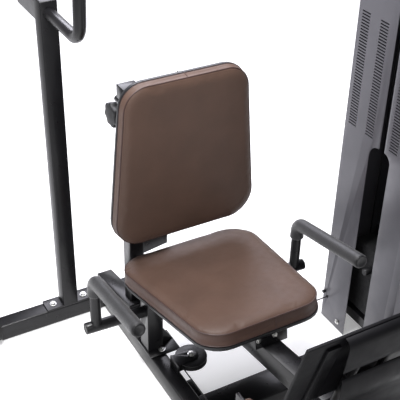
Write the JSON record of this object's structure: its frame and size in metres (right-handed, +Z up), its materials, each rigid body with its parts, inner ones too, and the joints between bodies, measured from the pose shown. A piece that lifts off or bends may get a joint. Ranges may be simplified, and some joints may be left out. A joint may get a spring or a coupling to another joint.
{
  "type": "hip abductor machine",
  "caption": "Seated hip abduction gym machine: brown padded seat and backrest, side handles, leg levers on a front pedestal and a cabled weight stack in a black tower.",
  "frame": {"origin": "on the floor, under the front edge of the seat on the seat centre line, on the underside of the cross rail", "axes": "+Z up; -Y is the way the user faces; +X is on the left of the user, towards the weight tower"},
  "size_m": [1.6095, 1.5943, 1.612],
  "materials": {
    "frame_paint": "semi-gloss black powder coat",
    "casing_paint": "satin black painted sheet steel",
    "upholstery": "dark reddish-brown smooth vinyl with stitched seams",
    "black_plastic": "matt black moulded plastic",
    "grip_foam": "closed-cell black foam sleeve",
    "rubber": "matt black rubber",
    "cable_jacket": "black plastic jacket over steel cable",
    "weight_iron": "black painted cast iron",
    "chrome_steel": "polished chromed steel",
    "zinc_steel": "bright zinc-plated steel"
  },
  "bodies": {
    "frame": {"back_column": "frame_paint", "base_rail": "frame_paint", "cable_channel": "frame_paint", "cross_rail": "frame_paint", "front_base_frame": "frame_paint", "front_plate": "casing_paint", "front_post": "frame_paint", "guide_rod_front": "chrome_steel", "guide_rod_rear": "chrome_steel", "handle_frame": "frame_paint", "left_grip": "grip_foam", "left_upright": "frame_paint", "low_pulley_bracket": "frame_paint", "lower_front_cover": "casing_paint", "lower_weight_plates": "weight_iron", "pivot_shaft_left": "chrome_steel", "pivot_shaft_right": "chrome_steel", "plate_strut_left": "frame_paint", "plate_strut_right": "frame_paint", "pull_cable": "cable_jacket", "pulley_bolt": "zinc_steel", "pulley_fork": "frame_paint", "rear_base_foot": "rubber", "rear_base_tube": "frame_paint", "rear_brace_tube": "frame_paint", "right_grip": "grip_foam", "seat_beam": "frame_paint", "seat_cross_tube": "frame_paint", "seat_pad": "upholstery", "seat_post": "frame_paint", "seat_shell": "black_plastic", "stack_cushion": "rubber", "top_pulley_stand": "frame_paint", "tower_frame": "frame_paint", "tower_front_shell": "casing_paint", "tower_lid": "casing_paint", "tower_outer_cover": "casing_paint", "tower_rear_shell": "casing_paint", "upper_front_cover": "casing_paint", "upright_bolt_inner": "zinc_steel", "upright_bolt_outer": "zinc_steel", "upright_handle": "frame_paint"},
    "stack": {"lifted_weight_plates": "weight_iron", "stack_head": "frame_paint"},
    "selector_pin": {"selector_pin": "chrome_steel"},
    "right_lever": {"right_leg_lever": "frame_paint", "right_leg_pad": "upholstery", "right_sync_gear": "zinc_steel", "lever_cam": "frame_paint"},
    "left_lever": {"left_leg_lever": "frame_paint", "left_leg_pad": "upholstery", "left_sync_gear": "zinc_steel"},
    "guide_pulley": {"guide_pulley": "black_plastic"},
    "tower_low_pulley": {"tower_low_pulley": "black_plastic"},
    "tower_top_pulley": {"tower_top_pulley": "black_plastic"},
    "backrest": {"back_slide_carriage": "frame_paint", "back_shell": "black_plastic", "back_pad": "upholstery"},
    "clamp_knob": {"clamp_knob": "black_plastic"}
  },
  "joints": [
    {"name": "stack_lift", "type": "slide", "parent": "frame", "child": "stack", "axis": [0, 0, 1], "range_m": [0, 0.0648]},
    {"name": "right_lever_swing", "type": "hinge", "parent": "frame", "child": "right_lever", "pos_m": [-0.075, -0.58, 0.105], "axis": [0, 0, 1], "range_deg": [0, 45.5]},
    {"name": "left_lever_swing", "type": "hinge", "parent": "frame", "child": "left_lever", "pos_m": [0.075, -0.58, 0.105], "axis": [0, 0, 1], "range_deg": [-45.5, 0]},
    {"name": "guide_pulley_spin", "type": "hinge", "parent": "frame", "child": "guide_pulley", "pos_m": [-0.1075, 0.185, 0.105], "axis": [0, 0, 1], "range_deg": [0, 75]},
    {"name": "low_pulley_spin", "type": "hinge", "parent": "frame", "child": "tower_low_pulley", "pos_m": [0.65, 0.235, 0.155], "axis": [0, 1, 0], "range_deg": [0, 75]},
    {"name": "top_pulley_spin", "type": "hinge", "parent": "frame", "child": "tower_top_pulley", "pos_m": [0.7, 0.1475, 1.43], "axis": [-1, 0, 0], "range_deg": [0, 43]},
    {"name": "selector_pin_pull", "type": "slide", "parent": "stack", "child": "selector_pin", "axis": [-1, 0, 0], "range_m": [0, 0.13]},
    {"name": "backrest_slide", "type": "slide", "parent": "frame", "child": "backrest", "axis": [0, -1, 0], "range_m": [0, 0.06]},
    {"name": "knob_turn", "type": "hinge", "parent": "frame", "child": "clamp_knob", "pos_m": [-0.232, 0.512, 0.965], "axis": [-1, 0, 0], "range_deg": [0, 360]}
  ],
  "couplings": [
    {"joint": "right_lever_swing", "follows": "stack_lift", "rad_per_m": 12.121},
    {"joint": "left_lever_swing", "follows": "stack_lift", "rad_per_m": -12.121},
    {"joint": "guide_pulley_spin", "follows": "stack_lift", "rad_per_m": 20},
    {"joint": "low_pulley_spin", "follows": "stack_lift", "rad_per_m": 20},
    {"joint": "top_pulley_spin", "follows": "stack_lift", "rad_per_m": 11.429}
  ]
}
